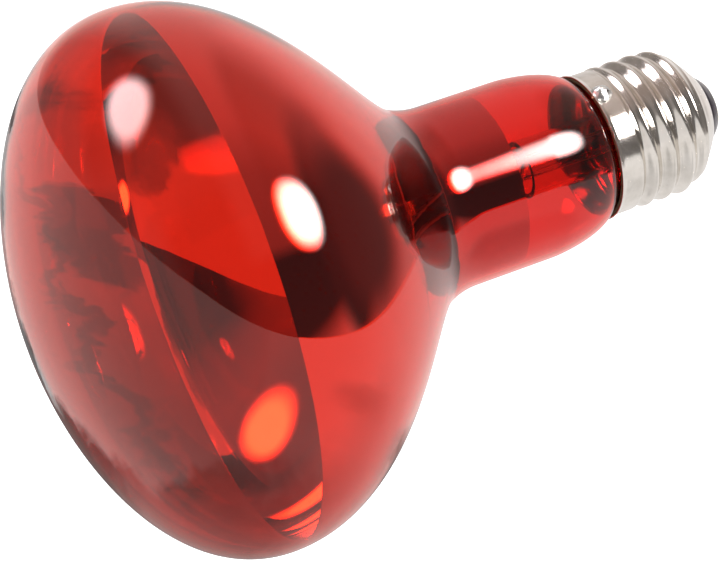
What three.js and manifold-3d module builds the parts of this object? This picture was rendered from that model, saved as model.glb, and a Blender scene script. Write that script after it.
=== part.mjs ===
// Infrared reflector heat lamp with an E27 screw cap.
// Millimetres, +Z up. The lamp's axis is Z, the cap points down and the dome points up.
// The origin is the centre of the flat tip of solder on the centre contact.

import * as THREE from 'three';
import { mergeVertices } from 'three/addons/utils/BufferGeometryUtils.js';
import Module from 'manifold-3d';

// ---------- driving dimensions ----------

const GAP = 0.3;                // clearance left between neighbouring pieces

// Bulb
const BULB_RADIUS = 47.5;       // an R95 reflector is 95 mm across
const LAMP_LENGTH = 130.1;      // contact tip to the crown of the dome
const EQUATOR_Z = 100.7;        // height of the largest diameter
const NECK_RADIUS = 16.3;
const NECK_LOW_Z = 39.2;        // the straight neck runs from here
const NECK_HIGH_Z = 54.1;       // to here
const WAIST_RADIUS = 14.4;      // concave round where the neck opens into the flank
const WAIST_ANGLE = 0.466;      // how far that round turns, in radians
const GLASS_WALL = 0.9;
const SEAL_RADIUS = 10.9;       // narrow end of the bulb inside the cap
const SEAL_LOW_Z = 16.8;
const SEAL_HIGH_Z = 22.9;
const RIM_GLASS_RADIUS = 12.3;  // glass where it leaves the cap
const SEAL_PULL = 1.6;          // stiffness of the glass where it leaves the seal, along Z
const RIM_PULL = [1.4, 0.9];    // and where it reaches the cap's rim: along Z and outwards
const SHOULDER_PULL = [2.1, 3.4];   // how the shoulder leaves the cap: along Z and outwards
const NECK_PULL = 1.5;          // stiffness of the shoulder where it joins the neck
const WAIST_PULL = 6.6;         // stiffness of the flank where it leaves the waist
const FLANK_PULL = 21.3;        // and where it reaches the equator
const DOME_PULL = 19.5;         // stiffness of the dome at the equator
const CROWN_PULL = 21.7;        // and at the crown

// Mirror films, on the inside of the glass: the waist between them and the dome are left clear
const FILM_WALL = 0.3;
const FLANK_FILM_LOW_Z = 71.3;
const FLANK_FILM_HIGH_Z = 99.5;
const NECK_FILM_LOW_Z = 45.5;
const NECK_FILM_HIGH_Z = 60.6;

// E27 cap
const RIM_Z = 26.3;             // height of the open rim of the shell
const RIM_RADIUS = 13.3;
const SKIRT_RADIUS = 12.95;
const SKIRT_LOW_Z = 22.3;
const CREST_RADIUS = 13.15;
const ROOT_RADIUS = 12.05;
const PITCH = 3.629;            // seven threads to the inch
const CREST_PHASE = 0.537;      // height of a crest at azimuth 0, as a share of the pitch
const THREAD_LOW_Z = 7.9;       // the thread grows out of the shell's rounded end from here
const THREAD_FULL_Z = 10.7;     // and is full-height from here
const THREAD_START_RADIUS = 11.5;
const THREAD_FADE = 1.6;        // height over which the thread dies out into the skirt
const SHELL_WALL = 0.28;
const CONTACT_RADIUS = 3.3;
const CONTACT_LOW_Z = 0.75;
const CONTACT_HIGH_Z = 1.1;
const LEAD_HOLE_RADIUS = 0.9;

// Stem and filament
const FLARE_RADIUS = 9.4;
const STEM_RADIUS = 5.2;
const STEM_TOP_Z = 39.3;
const PRESS_TOP_Z = 48.3;
const PRESS_WIDTH = 10.5;
const PRESS_THICKNESS = 3.6;
const LEAD_OFFSET = 3.0;        // each lead's distance from the axis in the press
const LEAD_RADIUS = 0.4;
const SEAL_WIRE_RADIUS = 0.3;
const OUTER_LEAD_RADIUS = 0.22;
const EXHAUST_RADIUS = 1.9;
const EXHAUST_LOW_Z = 9.3;
const ARBOR_RADIUS = 1.4;
const BUTTON_LOW_Z = 61.3;
const BUTTON_HIGH_Z = 64.7;
const BUTTON_RADIUS = 3.0;
const SHIELD_Z = 51.3;
const SHIELD_RADIUS = 13.6;
const SHIELD_THICKNESS = 0.4;
const FILAMENT_Z = 71.3;
const FILAMENT_RING = 11;       // radius of the filament's ring
const FILAMENT_RADIUS = 0.55;   // outside radius of the coil
const FILAMENT_OPENING = 40;    // degrees left open between its two ends, centred on -Y
const SUPPORT_COUNT = 5;
const SUPPORT_RADIUS = 0.2;

// Mesh fineness
const ROUND = 32;               // facets around the bulb and the cap
const SMALL_ROUND = 16;         // facets around the pieces inside
const WIRE_SIDES = 8;

// ---------- materials ----------

const LOOKS = {
  rubyGlass: { color: 0xb01010, roughness: 0.05, metalness: 0, transparent: true, opacity: 0.45 },
  clearGlass: { color: 0xd8e0e0, roughness: 0.05, metalness: 0, transparent: true, opacity: 0.5 },
  aluminiumFilm: { color: 0xe6e6e8, roughness: 0.08, metalness: 1 },
  nickelPlate: { color: 0xd6d2ca, roughness: 0.2, metalness: 1 },
  blackGlass: { color: 0x1c1820, roughness: 0.15, metalness: 0 },
  brass: { color: 0xc9a34e, roughness: 0.3, metalness: 1 },
  solder: { color: 0xc6c6c6, roughness: 0.35, metalness: 1 },
  cement: { color: 0x5a3a26, roughness: 0.9, metalness: 0 },
  nickelWire: { color: 0xb4b0a8, roughness: 0.35, metalness: 1 },
  copperWire: { color: 0xb06a40, roughness: 0.35, metalness: 1 },
  tungsten: { color: 0x77797c, roughness: 0.5, metalness: 1 },
};

const lamp = new THREE.Group();

function place(name, look, geometry) {
  const mesh = new THREE.Mesh(geometry, new THREE.MeshStandardMaterial(LOOKS[look]));
  mesh.name = name;
  lamp.add(mesh);
}

// ---------- geometry helpers ----------

// Turns an outline of [radius, height] points about Z. It starts and ends on the axis, and runs
// up the outside and down the inside.
function turned(outline, facets) {
  const points = outline.map(([radius, z]) => new THREE.Vector2(Math.max(radius, 0), z));
  return new THREE.LatheGeometry(points, facets).rotateX(Math.PI / 2);
}

// Like turned, for an outline that doesn't touch the axis: its last point joins its first.
function turnedRing(outline, facets) {
  return turned([...outline, outline[0]], facets);
}

// A round wire along a smooth curve through the given points.
function wire(points, radius, steps) {
  const path = new THREE.CatmullRomCurve3(points.map((p) => new THREE.Vector3(...p)), false, 'centripetal');
  const section = new THREE.Shape();
  section.absarc(0, 0, radius, 0, 2 * Math.PI);
  return new THREE.ExtrudeGeometry(section, { steps, curveSegments: WIRE_SIDES / 2, extrudePath: path });
}

// A point of a curve as [radius, height], moved inwards along the curve's normal.
function inset(curve, t, depth) {
  const p = curve.getPoint(t);
  const tangent = curve.getTangent(t);
  return [p.x - tangent.y * depth, p.y + tangent.x * depth];
}

// Points of a list of curves, moved inwards by depth.
function outlineOf(curves, depth) {
  const points = [];
  for (const [curve, divisions] of curves) {
    for (let i = points.length ? 1 : 0; i <= divisions; i++) {
      points.push(inset(curve, i / divisions, depth));
    }
  }
  return points;
}

// The point where a rising outline reaches a height.
function pointAt(outline, z) {
  const i = outline.findIndex((point) => point[1] > z);
  const [r0, z0] = outline[i - 1];
  const [r1, z1] = outline[i];
  return [THREE.MathUtils.mapLinear(z, z0, z1, r0, r1), z];
}

// The stretch of a rising outline between two heights.
function stretchOf(outline, lowZ, highZ) {
  const inner = outline.filter((point) => point[1] > lowZ && point[1] < highZ);
  return [pointAt(outline, lowZ), ...inner, pointAt(outline, highZ)];
}

// ---------- the bulb's outline ----------

function cubic(...points) {
  return new THREE.CubicBezierCurve(...points.map(([radius, z]) => new THREE.Vector2(radius, z)));
}

function line(from, to) {
  return new THREE.LineCurve(new THREE.Vector2(...from), new THREE.Vector2(...to));
}

// The outside of the bulb from its narrow end to the crown, as curves with their numbers of steps.
function bulbCurves() {
  const glassExitZ = RIM_Z + GAP;
  const waistEnd = [
    NECK_RADIUS + WAIST_RADIUS * (1 - Math.cos(WAIST_ANGLE)),
    NECK_HIGH_Z + WAIST_RADIUS * Math.sin(WAIST_ANGLE),
  ];
  const waistHandle = [
    waistEnd[0] + WAIST_PULL * Math.sin(WAIST_ANGLE),
    waistEnd[1] + WAIST_PULL * Math.cos(WAIST_ANGLE),
  ];
  const waist = new THREE.EllipseCurve(
    NECK_RADIUS + WAIST_RADIUS, NECK_HIGH_Z, WAIST_RADIUS, WAIST_RADIUS,
    Math.PI, Math.PI - WAIST_ANGLE, true,
  );
  return [
    [line([SEAL_RADIUS, SEAL_LOW_Z], [SEAL_RADIUS, SEAL_HIGH_Z]), 1],
    [cubic(
      [SEAL_RADIUS, SEAL_HIGH_Z],
      [SEAL_RADIUS, SEAL_HIGH_Z + SEAL_PULL],
      [RIM_GLASS_RADIUS - RIM_PULL[1], glassExitZ - RIM_PULL[0]],
      [RIM_GLASS_RADIUS, glassExitZ],
    ), 2],
    [cubic(
      [RIM_GLASS_RADIUS, glassExitZ],
      [RIM_GLASS_RADIUS + SHOULDER_PULL[1], glassExitZ + SHOULDER_PULL[0]],
      [NECK_RADIUS, NECK_LOW_Z - NECK_PULL],
      [NECK_RADIUS, NECK_LOW_Z],
    ), 5],
    [line([NECK_RADIUS, NECK_LOW_Z], [NECK_RADIUS, NECK_HIGH_Z]), 1],
    [waist, 2],
    [cubic(
      waistEnd,
      waistHandle,
      [BULB_RADIUS, EQUATOR_Z - FLANK_PULL],
      [BULB_RADIUS, EQUATOR_Z],
    ), 8],
    [cubic(
      [BULB_RADIUS, EQUATOR_Z], [BULB_RADIUS, EQUATOR_Z + DOME_PULL],
      [CROWN_PULL, LAMP_LENGTH], [0, LAMP_LENGTH],
    ), 9],
  ];
}

// The blown glass: one skin, open at the narrow end where the stem closes it.
function glassEnvelope() {
  const outside = outlineOf(bulbCurves(), 0);
  const inside = outlineOf(bulbCurves(), GLASS_WALL);
  outside.at(-1)[0] = 0;
  inside.at(-1)[0] = 0;
  return turned([...inside.reverse(), ...outside], ROUND);
}

// A band of mirror: a thin skin on the inside of the glass, open at both ends.
function mirrorBand(lowZ, highZ) {
  const depth = GLASS_WALL + GAP;
  const outside = stretchOf(outlineOf(bulbCurves(), depth), lowZ, highZ);
  const inside = stretchOf(outlineOf(bulbCurves(), depth + FILM_WALL), lowZ, highZ);
  return turnedRing([...outside, ...inside.reverse()], ROUND);
}

// ---------- the cap ----------

// Height of the thread above its mean radius: a rounded wave that fades out at both ends.
function threadWave(z, azimuth) {
  const fade = THREE.MathUtils.smoothstep(z, THREAD_LOW_Z, THREAD_FULL_Z)
    * (1 - THREE.MathUtils.smoothstep(z, SKIRT_LOW_Z - THREAD_FADE, SKIRT_LOW_Z));
  const turns = z / PITCH - CREST_PHASE - azimuth / (2 * Math.PI);
  return fade * Math.cos(2 * Math.PI * turns) * (CREST_RADIUS - ROOT_RADIUS) / 2;
}

// Mean outside radius of the shell at each height, from its end to its rim.
function shellOutline() {
  const meanRadius = (CREST_RADIUS + ROOT_RADIUS) / 2;
  const end = [[7.45, 4.15], [8.6, 5.1], [9.75, 6.1], [10.75, 7.1]];
  const thread = [];
  const rows = 24;
  for (let i = 0; i <= rows; i++) {
    const z = THREE.MathUtils.lerp(THREAD_LOW_Z, SKIRT_LOW_Z, i / rows);
    const grown = THREE.MathUtils.smoothstep(z, THREAD_LOW_Z - 1, THREAD_FULL_Z);
    const swept = THREE.MathUtils.lerp(THREAD_START_RADIUS, meanRadius, grown);
    const blend = THREE.MathUtils.smoothstep(z, SKIRT_LOW_Z - THREAD_FADE, SKIRT_LOW_Z);
    thread.push([THREE.MathUtils.lerp(swept, SKIRT_RADIUS, blend), z]);
  }
  const rim = [[SKIRT_RADIUS, RIM_Z - 0.9], [RIM_RADIUS - 0.1, RIM_Z - 0.35], [RIM_RADIUS, RIM_Z]];
  return [...end, ...thread, ...rim];
}

// The same outline moved inwards by the thickness of the sheet.
function offsetOutline(outline, depth) {
  return outline.map(([radius, z], i) => {
    const [r0, z0] = outline[Math.max(i - 1, 0)];
    const [r1, z1] = outline[Math.min(i + 1, outline.length - 1)];
    const length = Math.hypot(r1 - r0, z1 - z0);
    return [radius - (z1 - z0) / length * depth, z + (r1 - r0) / length * depth];
  });
}

function capShell() {
  const outside = shellOutline();
  const inside = offsetOutline(outside, SHELL_WALL);
  inside.at(-1)[1] = RIM_Z;
  const geometry = turnedRing([...outside, ...inside.reverse()], ROUND);
  const position = geometry.attributes.position;
  const point = new THREE.Vector3();
  for (let i = 0; i < position.count; i++) {
    point.fromBufferAttribute(position, i);
    const radius = Math.hypot(point.x, point.y);
    const grown = radius + threadWave(point.z, Math.atan2(point.y, point.x));
    position.setXYZ(i, point.x * grown / radius, point.y * grown / radius, point.z);
  }
  return geometry;
}

function capInsulator() {
  return turnedRing([
    [LEAD_HOLE_RADIUS, CONTACT_HIGH_Z + GAP],
    [4.3, CONTACT_HIGH_Z + GAP],
    [4.9, 1.75],
    [5.7, 2.5],
    [6.5, 3.4],
    [6.85, 3.95],
    [6.95, 4.55],
    [8.2, 5.58],
    [9.3, 6.53],
    [9.0, 7.15],
    [4.6, 6.6],
    [LEAD_HOLE_RADIUS, 4.9],
  ], SMALL_ROUND * 2);
}

function contactPlate() {
  return turnedRing([
    [LEAD_HOLE_RADIUS, CONTACT_LOW_Z],
    [CONTACT_RADIUS - 0.2, CONTACT_LOW_Z],
    [CONTACT_RADIUS, CONTACT_LOW_Z + 0.2],
    [CONTACT_RADIUS, CONTACT_HIGH_Z],
    [LEAD_HOLE_RADIUS, CONTACT_HIGH_Z],
  ], SMALL_ROUND * 2);
}

// A flat-tipped drop of solder on the centre contact.
function centreSolder() {
  const top = CONTACT_LOW_Z - GAP;
  return turned([[0, 0], [1.3, 0], [1.9, 0.08], [2.3, 0.26], [2.4, top], [0, top]], SMALL_ROUND);
}

// A low blob on the outside of the skirt, just under the rim, at azimuth 0.
function sideSolder() {
  const halfThickness = 0.7;
  const halfHeight = 1.5;
  const blob = new THREE.SphereGeometry(1, 16, 10).scale(halfThickness, 1.4, halfHeight);
  return blob.translate(SKIRT_RADIUS + GAP + halfThickness, 0, RIM_Z - halfHeight);
}

// ---------- booleans ----------

const manifold = await Module();
manifold.setup();

function toSolid(geometry) {
  const bare = geometry.clone();
  bare.deleteAttribute('normal');
  bare.deleteAttribute('uv');
  const merged = mergeVertices(bare, 1e-4);
  const mesh = new manifold.Mesh({
    numProp: 3,
    vertProperties: new Float32Array(merged.attributes.position.array),
    triVerts: new Uint32Array(merged.index.array),
  });
  return new manifold.Manifold(mesh);
}

function toGeometry(solid) {
  const mesh = solid.getMesh();
  const geometry = new THREE.BufferGeometry();
  geometry.setAttribute('position', new THREE.BufferAttribute(new Float32Array(mesh.vertProperties), 3));
  geometry.setIndex(new THREE.BufferAttribute(new Uint32Array(mesh.triVerts), 1));
  return geometry;
}

// The ring of cement between the glass and the skirt, with a channel for the side lead.
function cappingCement() {
  const ring = turnedRing([
    [11.3, 22.5],
    [12.3, 22.5],
    [12.3, 25.3],
    [12.6, 26.05],
    [12.42, 26.05],
    [12.1, 25.2],
    [11.5, 23.9],
  ], ROUND);
  const channel = new THREE.BoxGeometry(4, 1.2, 6).translate(12, 0, 24.3);
  return toGeometry(toSolid(ring).subtract(toSolid(channel)));
}

// ---------- the stem ----------

// The flare: its wide end closes the bulb, its narrow end holds the press.
function stemFlare() {
  const wall = 0.9;
  const outside = [
    [FLARE_RADIUS, 17.5],
    [7.6, 18.9],
    [6.2, 21.1],
    [5.4, 24.3],
    [STEM_RADIUS, 28.3],
    [STEM_RADIUS, STEM_TOP_Z],
  ];
  const inside = outside.map(([radius, z], i) => [radius - wall, i ? z : z - 0.7]);
  inside[0][0] = FLARE_RADIUS - 0.2;
  return turnedRing([...outside, ...inside.reverse()], SMALL_ROUND);
}

// The flat press: round at its sides, with a channel for each seal wire.
function stemPress() {
  const shape = new THREE.Shape();
  const side = (PRESS_WIDTH - PRESS_THICKNESS) / 2;
  const half = PRESS_THICKNESS / 2;
  shape.absarc(side, 0, half, -Math.PI / 2, Math.PI / 2, false);
  shape.absarc(-side, 0, half, Math.PI / 2, 3 * Math.PI / 2, false);
  for (const x of [-LEAD_OFFSET, LEAD_OFFSET]) {
    const channel = new THREE.Path();
    channel.absarc(x, 0, SEAL_WIRE_RADIUS + GAP, 0, 2 * Math.PI);
    shape.holes.push(channel);
  }
  const low = STEM_TOP_Z + GAP;
  const options = { depth: PRESS_TOP_Z - low, bevelEnabled: false, curveSegments: 8 };
  return new THREE.ExtrudeGeometry(shape, options).translate(0, 0, low);
}

// The pumping tube, melted shut at its tip and open into the press.
function exhaustTube() {
  const bore = 1.1;
  const top = STEM_TOP_Z - GAP;
  return turned([
    [0, EXHAUST_LOW_Z],
    [0.9, EXHAUST_LOW_Z + 0.5],
    [EXHAUST_RADIUS, EXHAUST_LOW_Z + 3],
    [EXHAUST_RADIUS, top],
    [bore, top],
    [bore, EXHAUST_LOW_Z + 3.5],
    [0, EXHAUST_LOW_Z + 2],
  ], SMALL_ROUND);
}

function arborRod() {
  const low = PRESS_TOP_Z + GAP;
  const high = BUTTON_LOW_Z - GAP;
  return turned([[0, low], [ARBOR_RADIUS, low], [ARBOR_RADIUS, high], [0, high]], SMALL_ROUND);
}

function arborButton() {
  const middle = (BUTTON_LOW_Z + BUTTON_HIGH_Z) / 2;
  return turned([
    [0, BUTTON_LOW_Z],
    [BUTTON_RADIUS * 0.7, BUTTON_LOW_Z + 0.3],
    [BUTTON_RADIUS, middle],
    [BUTTON_RADIUS * 0.7, BUTTON_HIGH_Z - 0.3],
    [0, BUTTON_HIGH_Z],
  ], SMALL_ROUND);
}

// The disc that keeps heat off the stem and the cap, holed for the rod and the two leads.
function heatShield() {
  const disc = new THREE.Shape();
  disc.absarc(0, 0, SHIELD_RADIUS, 0, 2 * Math.PI);
  const leadHole = LEAD_RADIUS + GAP;
  const holes = [[0, ARBOR_RADIUS + GAP], [-LEAD_OFFSET, leadHole], [LEAD_OFFSET, leadHole]];
  for (const [x, radius] of holes) {
    const hole = new THREE.Path();
    hole.absarc(x, 0, radius, 0, 2 * Math.PI);
    disc.holes.push(hole);
  }
  const options = { depth: SHIELD_THICKNESS, bevelEnabled: false, curveSegments: SMALL_ROUND };
  return new THREE.ExtrudeGeometry(disc, options).translate(0, 0, SHIELD_Z);
}

// ---------- wires ----------

// A point of the filament's ring, at an azimuth in degrees.
function ringPoint(degrees, radius, z) {
  const angle = THREE.MathUtils.degToRad(degrees);
  return [radius * Math.cos(angle), radius * Math.sin(angle), z];
}

const FILAMENT_START = -90 + FILAMENT_OPENING / 2;
const FILAMENT_SPAN = 360 - FILAMENT_OPENING;

// Azimuths of the filament's two ends and of the supports between them.
function filamentStations() {
  const spans = SUPPORT_COUNT + 1;
  return Array.from({ length: spans + 1 }, (_, i) => FILAMENT_START + FILAMENT_SPAN * i / spans);
}

// Straight stretches of coil from station to station.
function filament() {
  const stations = filamentStations().map((azimuth) => ringPoint(azimuth, FILAMENT_RING, FILAMENT_Z));
  const points = stations.flatMap((p, i) => {
    const next = stations[i + 1];
    return next ? [p, p.map((v, k) => (v + next[k]) / 2)] : [p];
  });
  return wire(points, FILAMENT_RADIUS, 36);
}

// A lead from the press through the shield to one end of the filament, on side -1 or 1.
function innerLead(side) {
  const x = side * LEAD_OFFSET;
  const endAzimuth = -90 + side * FILAMENT_OPENING / 2;
  const endZ = FILAMENT_Z - FILAMENT_RADIUS - GAP - LEAD_RADIUS;
  return wire([
    [x, 0, PRESS_TOP_Z + GAP],
    [x, 0, SHIELD_Z + 1],
    [x * 1.05, -1.2, SHIELD_Z + 6],
    [x * 1.15, -6, SHIELD_Z + 13],
    ringPoint(endAzimuth, FILAMENT_RING, endZ),
  ], LEAD_RADIUS, 14);
}

// The stretch of copper-coated wire that the press grips.
function sealWire(side) {
  const x = side * LEAD_OFFSET;
  return wire([[x, 0, STEM_TOP_Z + GAP + 0.1], [x, 0, PRESS_TOP_Z - 0.1]], SEAL_WIRE_RADIUS, 2);
}

// From the press down the flare, round the end of the glass and up to the rim at azimuth 0.
function outerLeadSide() {
  const betweenRadius = 11.35;
  return wire([
    [LEAD_OFFSET, 0, STEM_TOP_Z],
    [LEAD_OFFSET, 0, 29.3],
    [LEAD_OFFSET + 0.3, 0, 19.3],
    [5, 0, 14.9],
    [8.5, 0, 13.9],
    [10.9, 0, 14.9],
    [betweenRadius, 0, 17.5],
    [betweenRadius, 0, 22.3],
    [12.0, 0, 24.5],
    [12.66, 0, RIM_Z - 0.1],
  ], OUTER_LEAD_RADIUS, 30);
}

// From the press down the flare and through the insulator to the centre contact.
function outerLeadCentre() {
  return wire([
    [-LEAD_OFFSET, 0, STEM_TOP_Z],
    [-LEAD_OFFSET, 0, 29.3],
    [-LEAD_OFFSET, 0, 14.3],
    [-2.4, 0, 9.9],
    [-0.4, 0, 7.1],
    [0, 0, 4.7],
    [0, 0, CONTACT_LOW_Z],
  ], OUTER_LEAD_RADIUS, 24);
}

// A hook from the button out to the underside of the filament.
function filamentSupport(azimuth) {
  const reach = FILAMENT_Z - FILAMENT_RADIUS - GAP - SUPPORT_RADIUS;
  const middle = (BUTTON_LOW_Z + BUTTON_HIGH_Z) / 2;
  return wire([
    ringPoint(azimuth, BUTTON_RADIUS + GAP, middle),
    ringPoint(azimuth, BUTTON_RADIUS + 2.4, middle + 0.9),
    ringPoint(azimuth, FILAMENT_RING - 1.6, reach - 3.4),
    ringPoint(azimuth, FILAMENT_RING, reach),
  ], SUPPORT_RADIUS, 8);
}

// ---------- assembly ----------

place('glass_envelope', 'rubyGlass', glassEnvelope());
place('reflector_film', 'aluminiumFilm', mirrorBand(FLANK_FILM_LOW_Z, FLANK_FILM_HIGH_Z));
place('neck_film', 'aluminiumFilm', mirrorBand(NECK_FILM_LOW_Z, NECK_FILM_HIGH_Z));

place('cap_shell', 'nickelPlate', capShell());
place('cap_insulator', 'blackGlass', capInsulator());
place('contact_plate', 'brass', contactPlate());
place('centre_solder', 'solder', centreSolder());
place('side_solder', 'solder', sideSolder());
place('capping_cement', 'cement', cappingCement());

place('stem_flare', 'clearGlass', stemFlare());
place('stem_press', 'clearGlass', stemPress());
place('exhaust_tube', 'clearGlass', exhaustTube());
place('arbor_rod', 'clearGlass', arborRod());
place('arbor_button', 'clearGlass', arborButton());
place('heat_shield', 'aluminiumFilm', heatShield());

place('inner_lead_a', 'nickelWire', innerLead(-1));
place('inner_lead_b', 'nickelWire', innerLead(1));
place('seal_wire_a', 'copperWire', sealWire(-1));
place('seal_wire_b', 'copperWire', sealWire(1));
place('outer_lead_centre', 'copperWire', outerLeadCentre());
place('outer_lead_side', 'copperWire', outerLeadSide());

place('filament', 'tungsten', filament());
filamentStations().slice(1, -1).forEach((azimuth, i) => {
  place(`filament_support_${i + 1}`, 'nickelWire', filamentSupport(azimuth));
});

export default lamp;
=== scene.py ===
import math

import bmesh
import bpy
from mathutils import Matrix, Vector, noise


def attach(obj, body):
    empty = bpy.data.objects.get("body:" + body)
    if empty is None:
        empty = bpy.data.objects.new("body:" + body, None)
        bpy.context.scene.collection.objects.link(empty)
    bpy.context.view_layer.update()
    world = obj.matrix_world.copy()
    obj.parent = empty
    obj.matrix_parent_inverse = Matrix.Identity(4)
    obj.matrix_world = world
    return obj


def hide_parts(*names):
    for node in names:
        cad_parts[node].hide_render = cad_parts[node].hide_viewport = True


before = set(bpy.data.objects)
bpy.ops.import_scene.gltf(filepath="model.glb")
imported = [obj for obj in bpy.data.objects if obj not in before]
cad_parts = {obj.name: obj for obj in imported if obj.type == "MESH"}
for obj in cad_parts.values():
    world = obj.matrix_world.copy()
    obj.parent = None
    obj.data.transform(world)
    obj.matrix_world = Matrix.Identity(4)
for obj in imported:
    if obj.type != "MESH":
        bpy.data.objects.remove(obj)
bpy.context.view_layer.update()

# An R95 infrared reflector lamp on an E27 cap, standing on its contact with the dome up.
# Lengths in this script are millimetres, as in the CAD source; add_piece turns them into metres.
# The camera and the stage are in metres. Azimuth 0 is +X, towards the solder on the cap's rim.

MM = 0.001

# ---------- sizes of the bulb: a PULL is how far a curve's handle reaches from its end ----------

BULB_RADIUS = 47.5
LAMP_LENGTH = 130.1
EQUATOR_Z = 100.7
NECK_RADIUS = 16.3
NECK_LOW_Z = 39.2
NECK_HIGH_Z = 54.1
WAIST_RADIUS = 14.4
WAIST_ANGLE = 0.466
GLASS_WALL = 0.9
SEAL_RADIUS = 10.9
SEAL_LOW_Z = 16.8
SEAL_HIGH_Z = 22.9
RIM_GLASS_RADIUS = 12.3
RIM_GLASS_Z = 26.6
SEAL_PULL = 1.6
RIM_PULL = (1.4, 0.9)
SHOULDER_PULL = (2.1, 3.4)
NECK_PULL = 1.5
WAIST_PULL = 6.6
FLANK_PULL = 21.3
DOME_PULL = 19.5
CROWN_PULL = 21.7
FILM_GAP = 0.3
FILM_WALL = 0.25
FLANK_FILM_LOW_Z = 71.3
FLANK_FILM_HIGH_Z = 99.5
NECK_FILM_LOW_Z = 45.5
NECK_FILM_HIGH_Z = 60.6

# ---------- sizes of the cap ----------

RIM_Z = 26.3
RIM_RADIUS = 13.3
SKIRT_RADIUS = 12.95
SKIRT_LOW_Z = 22.3
CREST_RADIUS = 13.15
ROOT_RADIUS = 12.05
PITCH = 3.629
CREST_PHASE = 0.537             # turns by which the thread's crest is shifted
THREAD_LOW_Z = 7.9
THREAD_FULL_Z = 10.7
THREAD_START_RADIUS = 11.5
THREAD_FADE = 1.6
SHELL_WALL = 0.28

# ---------- sizes inside the bulb and the cap ----------

LEAD_OFFSET = 3.0
LEAD_RADIUS = 0.4
SEAL_WIRE_RADIUS = 0.3
OUTER_LEAD_RADIUS = 0.22
STEM_WALL = 0.9
STEM_TOP_Z = 39.3
PRESS_LOW_Z = 39.6
PRESS_TOP_Z = 48.3
PRESS_WIDTH = 10.5
PRESS_THICKNESS = 3.6
SHIELD_Z = 51.3
SHIELD_RADIUS = 13.6
SHIELD_BORE = 1.75
SHIELD_THICKNESS = 0.4
ARBOR_RADIUS = 1.4
ARBOR_LOW_Z = 48.6
ARBOR_HIGH_Z = 61.0
BUTTON_LOW_Z = 61.3
BUTTON_HIGH_Z = 64.7
BUTTON_RADIUS = 3.0
FILAMENT_Z = 71.3
FILAMENT_RING = 11.0
FILAMENT_RADIUS = 0.55          # outside the coil
FILAMENT_OPENING = 40.0         # degrees between the ring's two ends
TUNGSTEN_RADIUS = 0.1
COIL_TURNS = 26                 # between two supports
COIL_SAG = 0.25
CLAMP_RADIUS = 0.68
HOOK_RADIUS = 0.78
SUPPORT_COUNT = 5
SUPPORT_RADIUS = 0.2
WELD_GAP = 0.3                  # between solids that touch on the real lamp

ROUND = 224                     # facets around the bulb and the cap
INNER_ROUND = 64                # facets around the pieces inside
WIRE_SIDES = 12

# ---------- outlines of the turned pieces, as [radius, height] points ----------

SHELL_END = [[7.45, 4.15], [8.6, 5.1], [9.75, 6.1], [10.75, 7.1]]
INSULATOR = [[0.9, 1.4], [4.5, 1.4], [5.05, 1.7], [5.8, 2.5], [6.6, 3.4], [6.9, 3.9], [6.95, 4.55],
             [8.2, 5.58], [9.3, 6.53], [9.0, 7.15], [4.6, 6.6], [0.9, 4.9]]
CONTACT_DISC = [[0.9, 0.75], [2.1, 0.75], [3.15, 0.75], [3.3, 0.9], [3.3, 1.1], [2.1, 1.1], [0.9, 1.1]]
SOLDER_DROP = [[1.3, 0.02], [1.9, 0.1], [2.25, 0.28], [2.3, 0.5], [2.2, 0.74]]
CEMENT_RING = [[11.0, 22.5], [12.5, 22.5], [12.62, 25.4], [12.95, 26.02], [12.6, 26.25], [12.25, 26.2],
               [12.0, 25.6], [11.3, 24.0]]
STEM_FLARE = [[9.4, 17.5], [7.6, 18.9], [6.2, 21.1], [5.4, 24.3], [5.2, 28.3], [5.2, 33.3], [5.2, STEM_TOP_Z]]
EXHAUST_TUBE = [[0, 9.3], [0.9, 9.8], [1.9, 12.3], [1.9, 39], [1.1, 39], [1.1, 12.8], [0, 11.3]]

# ---------- routes of the outer leads ----------

SIDE_LEAD = [(3.0, 0, 39.3), (3.0, 0, 29.3), (3.3, 0, 19.3), (5, 0, 14.9), (8.5, 0, 13.9), (10.9, 0, 14.9),
             (11.35, 0, 17.5), (11.35, 0, 22.3), (12.0, 0, 24.5), (12.66, 0, 26.2)]
CENTRE_LEAD = [(-3.0, 0, 39.3), (-3.0, 0, 29.3), (-3.0, 0, 14.3), (-2.4, 0, 9.9), (-0.4, 0, 7.1), (0, 0, 4.7),
               (0, 0, 0.8)]


# ---------- mesh helpers ----------

def smoothstep(x, low, high):
    """0 below low, 1 above high, and a smooth rise between them."""
    t = min(max((x - low) / (high - low), 0.0), 1.0)
    return t * t * (3 - 2 * t)


def add_piece(name, verts, faces, material, nodes, flat_angle=None):
    """A mesh piece that stands for CAD nodes, from points in millimetres. It is shaded smooth, but for
    edges that turn by flat_angle or more, in radians."""
    mesh = bpy.data.meshes.new(name)
    mesh.from_pydata([tuple(c * MM for c in v) for v in verts], [], faces)
    bm = bmesh.new()
    bm.from_mesh(mesh)
    bmesh.ops.remove_doubles(bm, verts=bm.verts, dist=1e-7)
    bmesh.ops.recalc_face_normals(bm, faces=bm.faces)
    for face in bm.faces:
        face.smooth = True
    if flat_angle:
        for edge in bm.edges:
            edge.smooth = edge.calc_face_angle(0.0) < flat_angle
    bm.to_mesh(mesh)
    bm.free()
    mesh.materials.append(material)
    piece = bpy.data.objects.new(name, mesh)
    bpy.context.scene.collection.objects.link(piece)
    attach(piece, "root")
    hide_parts(*nodes)
    return piece


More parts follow.
